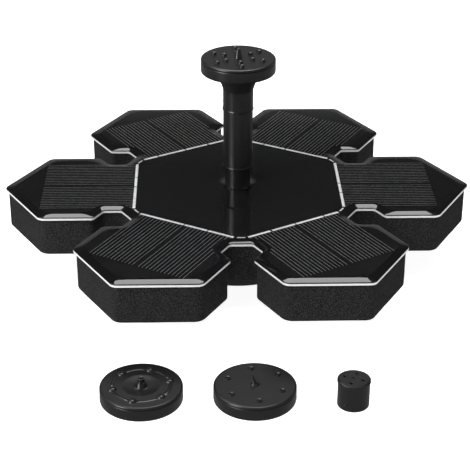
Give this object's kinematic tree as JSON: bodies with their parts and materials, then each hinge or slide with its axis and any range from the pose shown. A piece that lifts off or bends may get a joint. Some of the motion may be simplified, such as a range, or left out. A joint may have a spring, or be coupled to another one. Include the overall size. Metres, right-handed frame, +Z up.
{
  "type": "solar floating fountain pump",
  "caption": "Flower-shaped solar panel on a foam float, with a submersible pump below, a riser tube and spray head above, and spare spray heads.",
  "frame": {"origin": "centre of the flat base of the strainer cover, on the riser's axis", "axes": "+Z up along the riser, -Y towards the spare heads, +X along one petal"},
  "size_m": [0.184, 0.199, 0.0889],
  "materials": {
    "board_black": "satin black board",
    "clear_resin": "glossy clear epoxy",
    "tinned_ribbon": "bright tinned",
    "silicon_cell": "dark monocrystalline cell with fine silver fingers",
    "eva_foam": "fine-grained matt closed-cell foam",
    "black_plastic": "moulded satin black",
    "impeller_plastic": "moulded white",
    "potting_epoxy": "cast black epoxy",
    "circuit_board": "green solder resist",
    "chip_body": "moulded black",
    "bare_aluminium": "satin",
    "lead_red": "soft insulation",
    "lead_black": "soft insulation",
    "core_steel": "laminated",
    "ceramic": "ground",
    "seal_rubber": "soft matt",
    "screw_steel": "plain",
    "ferrite": "sintered",
    "copper_wire": "enamelled copper",
    "sponge": "open-cell filter foam"
  },
  "bodies": {
    "pump": {"panel_board": "board_black", "resin_coat": "clear_resin", "solar_cell_1a": "silicon_cell", "solar_cell_1b": "silicon_cell", "solar_cell_2a": "silicon_cell", "solar_cell_2b": "silicon_cell", "solar_cell_3a": "silicon_cell", "solar_cell_3b": "silicon_cell", "solar_cell_4a": "silicon_cell", "solar_cell_4b": "silicon_cell", "solar_cell_5a": "silicon_cell", "solar_cell_5b": "silicon_cell", "solar_cell_6a": "silicon_cell", "solar_cell_6b": "silicon_cell", "tab_ribbon_1": "tinned_ribbon", "tab_ribbon_2": "tinned_ribbon", "tab_ribbon_3": "tinned_ribbon", "tab_ribbon_4": "tinned_ribbon", "tab_ribbon_5": "tinned_ribbon", "tab_ribbon_6": "tinned_ribbon", "ribbon_links": "tinned_ribbon", "foam_float": "eva_foam", "pump_housing": "black_plastic", "potting": "potting_epoxy", "drive_board": "circuit_board", "hall_sensor": "chip_body", "driver_chip": "chip_body", "capacitor": "bare_aluminium", "lead_positive": "lead_red", "lead_negative": "lead_black", "stator_core": "core_steel", "stator_coil_1": "copper_wire", "stator_coil_2": "copper_wire", "stator_coil_3": "copper_wire", "stator_coil_4": "copper_wire", "rotor_shaft": "ceramic", "upper_bush": "seal_rubber", "lower_bush": "seal_rubber", "impeller_cover": "black_plastic", "cover_screws": "screw_steel"},
    "rotor": {"rotor_magnet": "ferrite", "impeller": "impeller_plastic", "thrust_washers": "ceramic"},
    "strainer": {"strainer_cover": "black_plastic", "filter_sponge": "sponge"},
    "riser": {"riser_tube": "black_plastic"},
    "adapter": {"head_adapter": "black_plastic"},
    "head": {"spray_head": "black_plastic"},
    "spare_ring": {"spare_ring_head": "black_plastic"},
    "spare_jet": {"spare_jet_head": "black_plastic"},
    "spare_small": {"spare_small_head": "black_plastic"}
  },
  "joints": [
    {"name": "rotor_spin", "type": "hinge", "parent": "pump", "child": "rotor", "pos_m": [0.0129, -0.0047, 0.01], "axis": [0, 0, 1], "continuous": true},
    {"name": "strainer_pull_off", "type": "slide", "parent": "pump", "child": "strainer", "axis": [0, 0, -1], "range_m": [0, 0.012]},
    {"name": "riser_pull_off", "type": "slide", "parent": "pump", "child": "riser", "axis": [0, 0, 1], "range_m": [0, 0.014]},
    {"name": "adapter_pull_off", "type": "slide", "parent": "riser", "child": "adapter", "axis": [0, 0, 1], "range_m": [0, 0.014]},
    {"name": "head_pull_off", "type": "slide", "parent": "adapter", "child": "head", "axis": [0, 0, 1], "range_m": [0, 0.01]},
    {"name": "spare_ring_lift", "type": "slide", "parent": "pump", "child": "spare_ring", "axis": [0, 0, 1], "range_m": [0, 0.03]},
    {"name": "spare_jet_lift", "type": "slide", "parent": "pump", "child": "spare_jet", "axis": [0, 0, 1], "range_m": [0, 0.03]},
    {"name": "spare_small_lift", "type": "slide", "parent": "pump", "child": "spare_small", "axis": [0, 0, 1], "range_m": [0, 0.03]}
  ]
}
